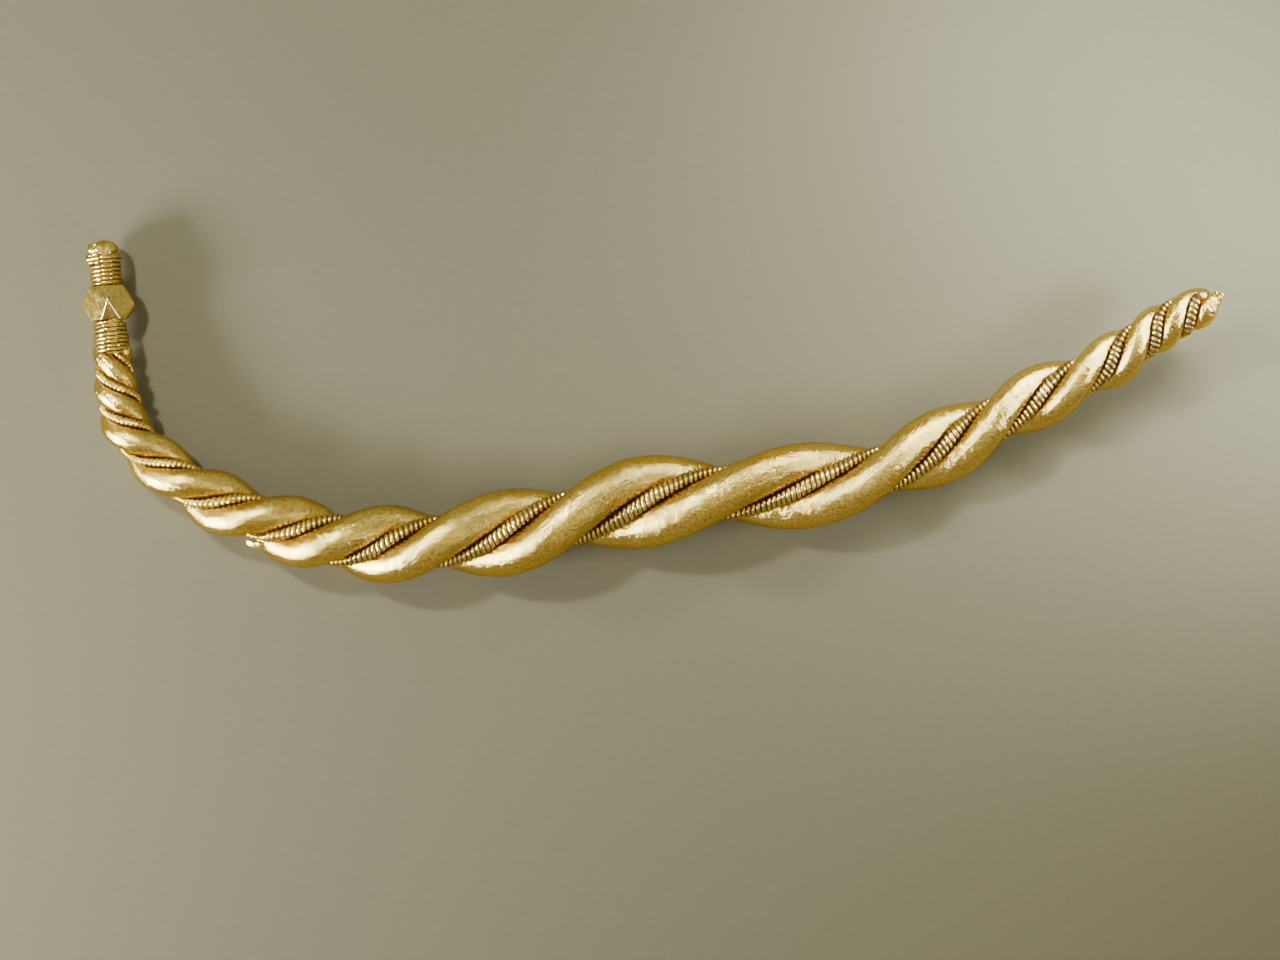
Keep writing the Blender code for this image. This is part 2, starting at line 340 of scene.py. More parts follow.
def point_at(at):
    x, y = (np.interp(at, RUN, PLAN[:, axis]) for axis in (0, 1))
    return np.stack([x, y, centre_height(at)], axis=-1)


def directions_at(at):
    """The unit directions along, left and up at a place along the ring."""
    reach = RUN[-1] / ROUTE_SAMPLES
    along = unit(point_at(at + reach) - point_at(at - reach))
    left = unit(np.cross([0.0, 0.0, 1.0], along))
    return along, left, np.cross(along, left)


def unit(vectors):
    return vectors / np.linalg.norm(vectors, axis=-1, keepdims=True)


def around(at, angle, radius):
    _, left, up = directions_at(at)
    angle = np.asarray(angle)[..., None]
    return point_at(at) + np.asarray(radius)[..., None] * (np.sin(angle) * left + np.cos(angle) * up)


def twist(at):
    return smooth_curve(GROOVE_UP_AT, HALF_TURN * np.arange(len(GROOVE_UP_AT)))(at)


def ease(share):
    share = np.clip(share, 0, 1)
    return share * share * (3 - 2 * share)


def soft_noise(points, size, seed, waves=14):
    """Smooth unevenness of about -1 to 1: waves of roughly one size, in seeded directions."""
    draw = np.random.default_rng(seed)
    ways = unit(draw.normal(size=(waves, 3)))
    lengths = size * draw.uniform(*WAVE_SPREAD, waves)
    phases = draw.uniform(0, FULL_TURN, waves)
    total = np.zeros(len(points))
    for way, length, phase in zip(ways, lengths, phases):
        total += np.sin(points @ way * FULL_TURN / length + phase)
    return total / math.sqrt(waves)


def relief(places, seed, layers):
    """Add up layers of unevenness, each given by its depth, size, step of the seed and number of waves."""
    return sum(depth * soft_noise(places, size, seed + step, waves) for depth, size, step, waves in layers)


print(f"twist: {twist(HOOP_END) / FULL_TURN:.1f} turns")

# %% [markdown]
# ## A tube to shape
# Rods, wires and bindings are all tubes. A cylinder is cut into rings, and each vertex is then known by
# its ring and by its angle round it. The maker of each piece turns those two numbers into a place in
# space.


# %% Helpers for tubes and objects
def make_tube(rings, sides):
    """A capped cylinder cut into rings, with the ring number and the angle of each vertex."""
    bm = bmesh.new()
    last = rings - 1
    bmesh.ops.create_cone(bm, cap_ends=True, segments=sides, radius1=1, radius2=1, depth=last)
    uprights = [e for e in bm.edges if abs(e.verts[0].co.z - e.verts[1].co.z) > last / 2]
    bmesh.ops.subdivide_edges(bm, edges=uprights, cuts=last - 1, use_grid_fill=True)
    places = np.array([v.co[:] for v in bm.verts])
    ring = np.rint(places[:, 2] + last / 2).astype(int)
    return bm, ring, np.arctan2(places[:, 1], places[:, 0])


def out_from(side, first, second):
    """The direction outwards at each angle of a tube, between two directions square to its path."""
    return np.cos(side)[:, None] * first + np.sin(side)[:, None] * second


def smoothed(values, ring, side, sides, passes):
    """Even out one value per vertex with its neighbours along and round a tube."""
    column = np.rint(side / FULL_TURN * sides).astype(int) % sides
    grid = np.zeros((ring.max() + 1, sides))
    grid[ring, column] = values
    for _ in range(passes):
        grid = (np.roll(grid, 1, axis=1) + 2 * grid + np.roll(grid, -1, axis=1)) / 4
        grid[1:-1] = (grid[:-2] + 2 * grid[1:-1] + grid[2:]) / 4
    return grid[ring, column]


def across_path(path, outwards):
    """Two directions square to a path: the first lies towards outwards."""
    along = unit(np.gradient(path, axis=0))
    first = unit(outwards - (outwards * along).sum(axis=1, keepdims=True) * along)
    return along, first, np.cross(along, first)


def move_verts(bm, places):
    for vert, place in zip(bm.verts, places):
        vert.co = place


def finish_piece(name, bm, material, slot, node=None, **attributes):
    """Turn a bmesh into an object that rides on the ring, with its finish and its attributes."""
    bmesh.ops.recalc_face_normals(bm, faces=bm.faces)
    mesh = bpy.data.meshes.new(name)
    bm.to_mesh(mesh)
    bm.free()
    for label, values in attributes.items():
        attribute = mesh.attributes.new(label, "FLOAT", "POINT")
        attribute.data.foreach_set("value", np.asarray(values, np.float32))
    mesh.shade_smooth()
    mesh.materials.append(material)
    piece = bpy.data.objects.new(name, mesh)
    bpy.context.scene.collection.objects.link(piece)
    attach(piece, "root")
    if node:
        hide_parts(node)
    triangles = sum(len(face.vertices) - 2 for face in mesh.polygons)
    print(f"{name}: {triangles} triangles")


def swell(places, centre, reach, push):
    """Move places near a centre by a push that fades smoothly to nothing at the reach."""
    share = ease(1 - np.linalg.norm((places - centre) / reach, axis=1))
    return places + share[:, None] * np.asarray(push)


def nearest(points, line):
    """For each point, the number of the nearest sample of a line and its distance."""
    finder = kdtree.KDTree(len(line))
    for number, place in enumerate(line):
        finder.insert(place, number)
    finder.balance()
    found = [finder.find(point)[1:] for point in points]
    return np.array([number for number, _ in found]), np.array([distance for _, distance in found])


# %% [markdown]
# ## Gold
# Ancient gold keeps its colour, but its surface is worn satin, finely scratched and pitted. In the hollows
# it is painted darker and redder: partly soil that still fills them, partly painted shade. One even colour
# with one gloss would look like paint, so colour, gloss and relief all vary. An attribute on each piece says
# how deep in a crevice every spot is, which sets the soil and painted shade, and a second one how torn or
# freshly scraped it is, which on the knob's cut edge also paints a pale glint.

# %% Tones of gold
GOLD_PALE = (0.98, 0.69, 0.125)
GOLD_DEEP = (0.94, 0.61, 0.085)
GOLD_EDGE = (1.0, 0.78, 0.45)
# Dark brown of the soil and painted shade in the crevices.
GOLD_SOIL_SHADE = (0.120, 0.063, 0.014)
# Pale bare metal, also used as a painted glint on the knob's cut edge.
GOLD_BARE_GLINT = (1.0, 0.88, 0.52)
SPECKLE_TONE = tuple(0.62 * tone for tone in GOLD_DEEP)
STAIN_TONE = tuple(0.55 * tone for tone in GOLD_DEEP)
CLOUD_SIZE = 0.006
CLOUD_EDGES = (0.38, 0.62)
SPECKLE_SIZE = 0.00036
SPECKLE_EDGES = (0.42, 0.62)
SPECKLE_SHARE = 0.8
STAIN_SIZE = 0.0013
STAIN_EDGES = (0.52, 0.72)
STAIN_SHARE = 0.5
BARE_GLINT_MARK = 3


def gold_colour(tree, place, soil_and_shade, torn):
    """Clouds of two golds, dark specks and stains, soil and painted shade in the crevices, bare metal and a
    painted glint on fresh edges.
    """
    cloud = ranged(tree, grain(tree, place, CLOUD_SIZE, detail=4.0, rough=0.6), *CLOUD_EDGES, 0, 1)
    colour = blend(tree, cloud, GOLD_PALE, GOLD_DEEP)
    speckle = grain(tree, place, SPECKLE_SIZE, detail=2.0, rough=0.6)
    speckle = ranged(tree, speckle, *SPECKLE_EDGES, 0, SPECKLE_SHARE)
    colour = blend(tree, speckle, colour, SPECKLE_TONE)
    stain = grain(tree, place, STAIN_SIZE, detail=3.0, rough=0.6)
    stain = ranged(tree, stain, *STAIN_EDGES, 0, STAIN_SHARE)
    colour = blend(tree, stain, colour, STAIN_TONE)
    # Soil and painted shade darken the crevices.
    colour = blend(tree, soil_and_shade, colour, GOLD_SOIL_SHADE)
    # Bare metal, which on the knob's cut edge is a painted glint.
    return blend(tree, ranged(tree, torn, 1, BARE_GLINT_MARK, 0, 1), colour, GOLD_BARE_GLINT)


print("tones of gold:", GOLD_PALE, "to", GOLD_DEEP)

# %% Gloss and fine relief
RUB_SIZE = 0.0022
RUB_EDGES = (0.36, 0.66)
SOIL_MATT = 0.25
TORN_MATT = 0.12
SCRATCH_SIZE = 0.0009
SCRATCH_STRETCH = (0.25, 1.6, 1.0)
SCRATCH_TURN = (0, 0, 0.5)
SCRATCH_SHARE = 0.4


def gold_roughness(tree, place, soil_and_shade, torn, gloss):
    """Rubbed patches between two degrees of gloss, duller where there is soil or a tear."""
    smooth, worn = gloss
    rubbed = ranged(tree, grain(tree, place, RUB_SIZE, detail=3.0, rough=0.7), *RUB_EDGES, smooth, worn)
    matt = plus(tree, times(tree, soil_and_shade, SOIL_MATT), times(tree, torn, TORN_MATT))
    return plus(tree, rubbed, matt)


def gold_normal(tree, place, speck, bump):
    """Fine grain, with longer scratches laid over it."""
    fine = add_node(tree, "ShaderNodeBump", {"Height": speck, "Strength": 1.0, "Distance": bump})
    scratch = grain(tree, place, SCRATCH_SIZE, detail=2.0, stretch=SCRATCH_STRETCH, turn=SCRATCH_TURN)
    inputs = {"Height": scratch, "Strength": 1.0, "Distance": SCRATCH_SHARE * bump}
    scored = add_node(tree, "ShaderNodeBump", {**inputs, "Normal": fine.outputs["Normal"]})
    return scored.outputs["Normal"]


print(f"scratches: {1000 * SCRATCH_SIZE:.1f} mm")

# %% Gold finishes
SOIL_SHADE_EDGES = (0.62, 1.08)
SOIL_SHADE_GRAIN = 0.5
DULL_FROM = 0.3
SOILED_METALLIC = 0.92


def gold(name, gloss, bump, grain_size):
    material, tree, shader = new_material(name)
    place = add_node(tree, "ShaderNodeTexCoord", {}).outputs["Object"]
    # The crevice attribute says where soil and painted shade darken the gold.
    crevice = add_node(tree, "ShaderNodeAttribute", {}, attribute_name="crevice").outputs["Fac"]
    torn = add_node(tree, "ShaderNodeAttribute", {}, attribute_name="torn").outputs["Fac"]
    speck = grain(tree, place, grain_size, detail=3.0, rough=0.65)
    # Crevice depth with a little grain: the share of soil and painted shade.
    soil_and_shade = ranged(tree, plus(tree, crevice, times(tree, speck, SOIL_SHADE_GRAIN)), *SOIL_SHADE_EDGES, 0, 1)
    tree.links.new(gold_colour(tree, place, soil_and_shade, torn), shader.inputs["Base Color"])
    tree.links.new(ranged(tree, soil_and_shade, DULL_FROM, 1.0, 1.0, SOILED_METALLIC), shader.inputs["Metallic"])
    shader.inputs["Specular Tint"].default_value = (*GOLD_EDGE, 1)
    tree.links.new(gold_roughness(tree, place, soil_and_shade, torn, gloss), shader.inputs["Roughness"])
    tree.links.new(gold_normal(tree, place, speck, bump), shader.inputs["Normal"])
    print(f"{name}: roughness {gloss[0]} to {gloss[1]}")
    return material


rod_gold = gold("satin_rod_gold", (0.10, 0.20), 0.000130, 0.00042)
wire_gold = gold("worn_wire_gold", (0.14, 0.28), 0.000008, 0.00040)
knob_gold = gold("facet_gold", (0.15, 0.27), 0.000016, 0.00060)

# %% [markdown]
# ## Lines of the rods and the ridged wires
# The two rods touch on the centre line and turn round it like the strands of a rope. Each ridged wire
# lies in a groove, on both rods. It stands a hair proud in the thick middle, and the twist has pressed
# it in towards the broken end. Where it lies is hard to write as a formula, so that depth is found by
# halving.

# %% Rod and wire lines
ROD_FILL = 0.000070
WIRE_RADII = (0.00140, 0.00066, 0.00098)


def rod_radius(at):
    return tapered(at, ROD_RADII) + ROD_FILL


def wire_radius(at):
    return tapered(at, WIRE_RADII)


def rod_line(turn, at):
    return around(at, twist(at) + turn, rod_radius(at) + GAP / 2 - ROD_FILL)


def even_places(line_at, start, end, count):
    """Places between start and end, evenly spaced along the real length of a line."""
    fine = np.linspace(start, end, ROUTE_SAMPLES)
    steps = np.linalg.norm(np.diff(line_at(fine), axis=0), axis=1)
    run = np.r_[0, np.cumsum(steps)]
    return np.interp(np.linspace(0, run[-1], count), run, fine), run[-1]


print(f"rods: {2000 * rod_radius(THICKEST_AT):.1f} mm across at their thickest")

# %% Seat the ridged wires
WIRE_PRESS = 0.00055
WIRE_PROUD = 0.00008
WIRE_SHORT_OF_TIP = 0.0040
SEAT_STATIONS = 700
SEAT_SAMPLES = 1200
SEAT_HALVINGS = 14
WIRE_SAMPLES = 3000


def seat_depths(turn, at):
    """Distance from the centre line at which a ridged wire lies on both rods."""
    fine = np.linspace(HOOP_START, HOOP_END, SEAT_SAMPLES)
    rods = np.concatenate([rod_line(turn + QUARTER_TURN, fine), rod_line(turn - QUARTER_TURN, fine)])
    thick = np.tile(rod_radius(fine), 2)
    low = np.zeros_like(at)
    high = 2 * hoop_reach(at)
    for _ in range(SEAT_HALVINGS):
        middle = (low + high) / 2
        points = around(at, twist(at) + turn, middle)
        away = np.linalg.norm(points[:, None] - rods[None], axis=2) - thick
        clear = away.min(axis=1) >= wire_radius(at)
        high = np.where(clear, middle, high)
        low = np.where(clear, low, middle)
    proud = WIRE_PROUD * ease((at - HOOP_START) / (THICKEST_AT - HOOP_START))
    return high + proud - WIRE_PRESS * ease((at - THICKEST_AT) / (HOOP_END - THICKEST_AT))


seat_at = np.linspace(HOOP_START, HOOP_END, SEAT_STATIONS)
SEATS = {turn: smooth_curve(seat_at, seat_depths(turn, seat_at)) for turn in (0, HALF_TURN)}


def wire_line(turn, at):
    return around(at, twist(at) + turn, SEATS[turn](at))


WIRE_END = HOOP_END - WIRE_SHORT_OF_TIP
WIRE_LINES = {}
for turn in (0, HALF_TURN):
    places, length = even_places(lambda at: wire_line(turn, at), HOOP_START, WIRE_END, WIRE_SAMPLES)
    WIRE_LINES[turn] = wire_line(turn, places), wire_radius(places)
    print(f"ridged wire: {1000 * length:.0f} mm long")

# %% [markdown]
# ## The two rods
# Each rod was hammered round, so its girth wanders a little and its surface has long shallow facets and
# dents. The twist pressed the ridged wires into it. A curve with a bevel would give the plain rod, but
# not its dents or channels. The rods are therefore tubes whose rings are close enough to hold all of
# that, and where a wire lies, the rod's vertices are pushed back until they just clear it. Beside the
# wires the colour is darkened: soil collects there, and the shade of the crease is painted in as well.

# %% Channels for the wires
WIRE_CLEARANCE = 0.00006
SOIL_SHADE_REACH = 0.00028


def clear_wires(places, out):
    """How far each place of a rod must sink to clear the wires, and how much soil and painted shade lie
    beside them.
    """
    sink = np.zeros(len(places))
    soil_and_shade = np.zeros(len(places))
    for line, thick in WIRE_LINES.values():
        number, distance = nearest(places, line)
        need = thick[number] + WIRE_CLEARANCE
        slant = ((places - line[number]) * out).sum(axis=1)
        room = np.sqrt(np.clip(slant ** 2 + need ** 2 - distance ** 2, 0, None))
        sink = np.maximum(sink, np.where(distance < need, slant + room, 0))
        # Soil and painted shade beside each wire, fading with the distance from it.
        beside = np.exp(-(np.clip(distance - need, 0, None) / SOIL_SHADE_REACH) ** 2)
        soil_and_shade = np.maximum(soil_and_shade, beside)
    return sink, soil_and_shade


print(f"clearance round the wires: {1000 * WIRE_CLEARANCE:.2f} mm")

# %% Shape of a rod
ROD_RINGS = 940
ROD_SIDES = 96
BREAK_RINGS = 70
BREAK_FINE_FROM = 0.0036
ROD_TUCK = 0.0030
ROD_TUCK_RADIUS = 0.00110
ROD_SHOULDER = 0.0012
ROD_SHOULDER_EARLY = 0.0015


def rod_shape(turn, end, break_length, end_radius, lean):
    """Distances run, path and radii of a rod that is tucked in at its start and tapers in its break."""
    start = HOOP_START - ROD_TUCK
    smooth_end = end - BREAK_FINE_FROM
    body, length = even_places(lambda run: rod_line(turn, run), start, smooth_end, ROD_RINGS - BREAK_RINGS)
    at = np.r_[body, np.linspace(smooth_end, end, BREAK_RINGS + 1)[1:]]
    radii = rod_radius(at)
    radii += (ROD_TUCK_RADIUS - radii) * (1 - ease((at - HOOP_START + ROD_SHOULDER_EARLY) / ROD_SHOULDER))
    broken = np.clip((at - end + break_length) / break_length, 0, 1) ** 2
    offset = radii + GAP / 2 - ROD_FILL - lean * broken
    radii += (end_radius - radii) * broken
    angle = twist(at) + turn
    path = around(at, angle, offset)
    _, first, second = across_path(path, around(at, angle, offset + 1) - path)
    print(f"rod: {1000 * length:.0f} mm long")
    return at, path, radii, first, second


# %% Make the rods
TORN_FROM = 0.1010
TORN_OVER = 0.0008
TIP_LENGTH = 0.0038
TIP_RADIUS = 0.00022
TIP_LEAN = 0.00130
BREAK_SHORT_OF_TIP = 0.0030
BREAK_LENGTH = 0.0009
BREAK_RADIUS = 0.55 * ROD_RADII[2]
DEEPEST_CHANNEL = 0.0012
SOIL_SHADE_STARTS_OVER = 0.006
ROD_DENTS = (0.000050, 0.0075, 0, 14), (0.000022, 0.0030, 1, 14)
ROD_GRAIN = (0.000022, 0.0011, 2, 24), (0.000012, 0.00065, 5, 30)
ROD_TEARS = (0.00010, 0.0011, 3, 14), (0.00007, 0.0005, 4, 24)


def make_rod(name, turn, end, break_length, end_radius, lean, seed):
    at, path, radii, first, second = rod_shape(turn, end, break_length, end_radius, lean)
    bm, ring, side = make_tube(ROD_RINGS, ROD_SIDES)
    out = out_from(side, first[ring], second[ring])
    places = path[ring] + radii[ring, None] * out
    share = (radii / ROD_RADII[0])[ring]
    torn = ease((places[:, 0] - TORN_FROM) / TORN_OVER)
    uneven = relief(places, seed, ROD_DENTS) + relief(places, seed, ROD_GRAIN)
    places += (uneven * share + torn * relief(places, seed, ROD_TEARS))[:, None] * out
    sink, soil_and_shade = clear_wires(places, out)
    # The soil and painted shade fade in from the start of the hoop.
    soil_and_shade *= ease((at[ring] - HOOP_START) / SOIL_SHADE_STARTS_OVER)
    sink = smoothed(np.clip(sink, 0, DEEPEST_CHANNEL), ring, side, ROD_SIDES, 2)
    places -= sink[:, None] * out
    places[:, 2] = np.maximum(places[:, 2], 0)
    move_verts(bm, places)
    finish_piece(name, bm, rod_gold, "bright_gold", name, crevice=soil_and_shade, torn=torn)


make_rod("rod_a", QUARTER_TURN, HOOP_END, TIP_LENGTH, TIP_RADIUS, TIP_LEAN, 11)
make_rod("rod_b", -QUARTER_TURN, HOOP_END - BREAK_SHORT_OF_TIP, BREAK_LENGTH, BREAK_RADIUS, 0, 23)

# %% [markdown]
# ## The ridged wires
# The wire in each groove was rolled under a grooved blade, which cuts it into a row of rings. The rings
# lean, because the wire turned as the rods were twisted, and wear has flattened their tops where the
# wire is thick. Near the broken end a groove runs along the wire too and splits the rings into two rows
# of beads, and at the left the first wire is nearly parted. Separate rings would have to be joined, so
# the wire is one tube. Eight rings of vertices a ridge are enough for a round crest and a sharp valley.

# %% Section of a ridged wire
WIRE_SIDES = 18
WIRE_FLATNESS = 0.80
WIRE_ROUNDNESS = 0.95
ROUNDEST_WIRE = 0.0009
FLATTEST_WIRE = 0.0013
TOP_SQUARENESS = 0.45
FLANK_SQUARENESS = 0.15


def worn_section(side, radius):
    """Height and width of the section at each angle: round when thin, flattened on top when thick."""
    worn = ease((radius - ROUNDEST_WIRE) / (FLATTEST_WIRE - ROUNDEST_WIRE))
    upper = np.cos(side) > 0
    top = WIRE_ROUNDNESS + (WIRE_FLATNESS - WIRE_ROUNDNESS) * worn
    height = np.where(upper, top * np.abs(np.cos(side)) ** (1 - TOP_SQUARENESS * worn), np.cos(side))
    flank = np.where(upper, 1 - FLANK_SQUARENESS * worn, 1.0)
    return height, np.sign(np.sin(side)) * np.abs(np.sin(side)) ** flank


print(f"ridged wires: {WIRE_SIDES} sides")

# %% Ridges along a wire
RIDGE_SPACING = 0.00100
RIDGE_SPACING_AT_KNOB = 0.00076
RIDGES_EVEN_FROM = 0.0600
RIDGE_DRIFT = 0.08
RIDGE_DRIFT_SIZE = 0.0055
RIDGE_DEPTH = 0.36
RIDGE_UNEVENNESS = 0.15
RIDGE_UNEVEN_SIZE = 0.002
RIDGE_FULLNESS = 0.8
DEEPEST_RIDGE = 0.00040


def ridges(at, run, path, radii, ring, seed):
    """How near each place is to a crest, from 0 to 1, and how deep the valleys are there."""
    spacing = np.interp(at, (HOOP_START, RIDGES_EVEN_FROM), (RIDGE_SPACING_AT_KNOB, RIDGE_SPACING))
    turns = np.cumsum(np.gradient(run) / spacing)
    drift = RIDGE_DRIFT * RIDGE_SPACING * soft_noise(path, RIDGE_DRIFT_SIZE, seed)[ring]
    phase = (turns[ring] + drift / RIDGE_SPACING) * FULL_TURN
    crest = np.abs(np.cos(phase / 2)) ** RIDGE_FULLNESS
    uneven = RIDGE_UNEVENNESS * soft_noise(path, RIDGE_UNEVEN_SIZE, seed + 1)[ring]
    depth = RIDGE_DEPTH * radii * (1 + uneven)
    return crest, np.minimum(depth, DEEPEST_RIDGE)


print(f"ridges: one every {1000 * RIDGE_SPACING:.2f} mm")

# %% Make the ridged wires
RINGS_PER_RIDGE = 8
SPARE_RINGS = 1.03
RIDGE_LEAN = math.radians(17)
SPLIT_FROM = HOOP_END - 0.042
SPLIT_OVER = 0.010
SPLIT_DEPTH = 0.00026
SPLIT_WIDTH = 0.06
WIRE_START_FADE = 0.0012
WIRE_END_FADE = 0.0008
WIRE_TIP_SHARE = 0.45
# Soil and painted shade darken the valleys, the underside and the split groove, less so near the knob.
VALLEY_SOIL_SHADE_FROM = 0.84
VALLEY_SOIL_SHADE_OVER = 0.42
UNDERSIDE_FROM = 0.10
UNDERSIDE_OVER = 0.8
UNDERSIDE_SOIL_SHADE = 0.55
SPLIT_SOIL_SHADE = 0.9
WIRE_SOIL_SHADE_FROM = 0.050
WIRE_SOIL_SHADE_OVER = 0.040
LEAST_SOIL_SHADE = 0.4
LOOSE_GAP = (0.0625, 0.0640, 0.0664, 0.0678), (1, 0.35, 0.35, 1)


def make_ridged_wire(name, turn, seed):
    start = HOOP_START + GAP
    _, length = even_places(lambda run: wire_line(turn, run), start, WIRE_END, 2)
    rings = round(SPARE_RINGS * length / RIDGE_SPACING * RINGS_PER_RIDGE)
    at, length = even_places(lambda run: wire_line(turn, run), start, WIRE_END, rings)
    run = np.linspace(0, length, rings)
    path = wire_line(turn, at)
    along, first, second = across_path(path, path - point_at(at))
    bm, ring, side = make_tube(rings, WIRE_SIDES)
    thin = np.interp(at, *LOOSE_GAP) if turn == 0 else np.ones(rings)
    radii = (wire_radius(at) * thin)[ring]
    height, width = worn_section(side, wire_radius(at)[ring])
    out = height[:, None] * first[ring] + width[:, None] * second[ring]
    crest, depth = ridges(at, run, path, radii, ring, seed)
    fade = ease(run / WIRE_START_FADE) * ease((length - run) / WIRE_END_FADE)
    split = ease((at - SPLIT_FROM) / SPLIT_OVER)[ring] * np.exp((np.cos(side) - 1) / SPLIT_WIDTH)
    tip = WIRE_TIP_SHARE + (1 - WIRE_TIP_SHARE) * fade[ring]
    radius = (radii - depth * (1 - crest) - SPLIT_DEPTH * split) * tip
    lean = -np.sin(side) * radii * math.tan(RIDGE_LEAN)
    places = path[ring] + radius[:, None] * out + lean[:, None] * along[ring]
    places[:, 2] = np.maximum(places[:, 2], 0)
    move_verts(bm, places)
    # Painted shade and soil: darker in the valleys, on the underside and in the split groove.
    valley = ease((VALLEY_SOIL_SHADE_FROM - crest) / VALLEY_SOIL_SHADE_OVER)
    underside = ease((UNDERSIDE_FROM - np.cos(side)) / UNDERSIDE_OVER)
    crevice = valley + UNDERSIDE_SOIL_SHADE * underside + SPLIT_SOIL_SHADE * split
    soil_shade_share = LEAST_SOIL_SHADE + (1 - LEAST_SOIL_SHADE) * ease((at - WIRE_SOIL_SHADE_FROM) / WIRE_SOIL_SHADE_OVER)
    finish_piece(name, bm, wire_gold, "worn_gold", name, crevice=soil_shade_share[ring] * np.clip(crevice, 0, 1))
    print(f"{name}: {round(length / RIDGE_SPACING)} ridges")


make_ridged_wire("beaded_wire_a", 0, 31)
make_ridged_wire("beaded_wire_b", HALF_TURN, 37)

# %% [markdown]
# ## The loose wire end
# On the lower edge of the hoop one ridged wire has parted. Its end was hammered flat and stands a little
# out of the groove. A bent strip would do, but its section changes along it, so it is a short tube with
# a flat, hollowed section.

# %% Make the loose wire end
LOOSE_LINE = (
    (-0.06890, -0.02385, 0.0066), (-0.07040, -0.02457, 0.0067), (-0.07209, -0.02485, 0.0061),
    (-0.07341, -0.02440, 0.0055), (-0.07436, -0.02367, 0.0049),
)
LOOSE_FACES = (0.0, -0.5, 1.0)
LOOSE_RINGS = 90
LOOSE_SIDES = 32
LOOSE_WIDTH = 0.00064
LOOSE_THICKNESS = 0.00026
LOOSE_HOLLOW = 0.00018
LOOSE_SOIL_SHADE = 0.6
LOOSE_SWELLING = (0, 0.12, 0.45, 0.8, 1), (0.25, 0.75, 1.1, 0.8, 0.2)
LOOSE_DENTS = ((0.00005, 0.0009, 0, 14),)


def make_loose_end(name):
    marks = np.linspace(0, 1, len(LOOSE_LINE))
    share = np.linspace(0, 1, LOOSE_RINGS)
    path = np.stack([smooth_curve(marks, np.array(LOOSE_LINE)[:, axis])(share) for axis in range(3)], axis=1)
    _, upward, sideways = across_path(path, np.tile(LOOSE_FACES, (LOOSE_RINGS, 1)))
    bm, ring, side = make_tube(LOOSE_RINGS, LOOSE_SIDES)
    shape = np.interp(share, *LOOSE_SWELLING)[ring]
    middle = np.sin(HALF_TURN * share[ring]) ** 2
    hollow = np.where(np.cos(side) > 0, LOOSE_HOLLOW * np.cos(side) * middle, 0)
    height = (LOOSE_THICKNESS * np.cos(side) - hollow) * shape
    width = LOOSE_WIDTH * np.sin(side) * shape
    places = path[ring] + height[:, None] * upward[ring] + width[:, None] * sideways[ring]
    places += relief(places, 61, LOOSE_DENTS)[:, None] * upward[ring]
    move_verts(bm, places)
    # The hollow is darkened with soil and painted shade.
    finish_piece(name, bm, wire_gold, "worn_gold", crevice=LOOSE_SOIL_SHADE * hollow / hollow.max())


make_loose_end("loose_wire_end")

# %% [markdown]
# ## The bindings
# A plain wire is wound round the shank on both sides of the knob. Its turns lie side by side but never
# quite evenly, and years of wear have rubbed their tops flat. Soil and painted shade darken the grooves
# between the turns. The outer binding also has a lump and a small dented hole, painted dark with soil and
# shade. A screw modifier would make the turns too regular, so the wire is a tube on a helix that wanders.

# %% Path of a binding
BINDING_RADIUS = 0.00036
BINDING_RINGS_PER_TURN = 56
BINDING_WANDER = 0.00006
BINDING_TILT = {"depth": 0.00008, "waves": 1, "phase": 0.9}
BINDING_WAVE = {"depth": 0.00005, "waves": 5, "phase": 1.3}
BINDING_BULGE = {"depth": 0.00006, "waves": 4, "phase": 0.8}


def wave(angle, depth, waves, phase):
    return depth * np.sin(waves * angle + phase)


def binding_path(start, end, turns, reach, seed):
    """The share of the way at each ring, and the path of the wound wire."""
    share = np.linspace(0, 1, round(turns * BINDING_RINGS_PER_TURN) + 1)
    angle = -FULL_TURN * turns * share
    draw = np.random.default_rng(seed)
    marks = np.arange(math.ceil(turns) + 2)
    uneven = np.interp(share * turns, marks, draw.uniform(-1, 1, len(marks)))
    at = start + BINDING_RADIUS + (end - start - 2 * BINDING_RADIUS) * share
    wander = BINDING_WANDER * uneven + wave(angle, **BINDING_TILT) + wave(angle, **BINDING_WAVE)
    at = at + wander * np.sin(HALF_TURN * share) ** 0.5
    radius = np.interp(share, (0, 1), reach) + wave(angle, **BINDING_BULGE)
    path = around(at, angle, radius)
    return share, path, path - point_at(at)


print(f"binding wire: {2000 * BINDING_RADIUS:.2f} mm thick")

# %% Make the bindings
BINDING_SIDES = 14
BINDING_UNEVENNESS = 0.07
BINDING_UNEVEN_SIZE = 0.0012
BINDING_TIP_SHARE = 0.55
BINDING_TIP_SPEED = 60
BINDING_RUBBED = 0.12
BINDING_SOIL_SHADE_FROM = 0.86
BINDING_SOIL_SHADE_OVER = 0.56
BINDING_HOLE = (-0.10230, 0.02686, 0.0075)
HOLE_REACH = 0.00035
BINDINGS = {
    "binding_outer": {
        "start": 0.0021, "end": 0.00845, "turns": 7.3, "reach": (0.00272, 0.00245), "seed": 41,
        "hole": BINDING_HOLE,
        "blows": (
            {"centre": (-0.10290, 0.0277, 0.0052), "reach": 0.0014, "push": (-0.00070, 0, 0.0002)},
            {"centre": BINDING_HOLE, "reach": 0.0006, "push": (0.0003, 0, -0.0004)},
        ),
    },
    "binding_inner": {
        "start": 0.01475, "end": 0.0208, "turns": 7.3, "reach": (0.00262, 0.00306), "seed": 43,
        "hole": None,
        "blows": (
            {"centre": (-0.10018, 0.01555, 0.0074), "reach": 0.0010, "push": (0, 0.0001, 0.00035)},
        ),
    },
}


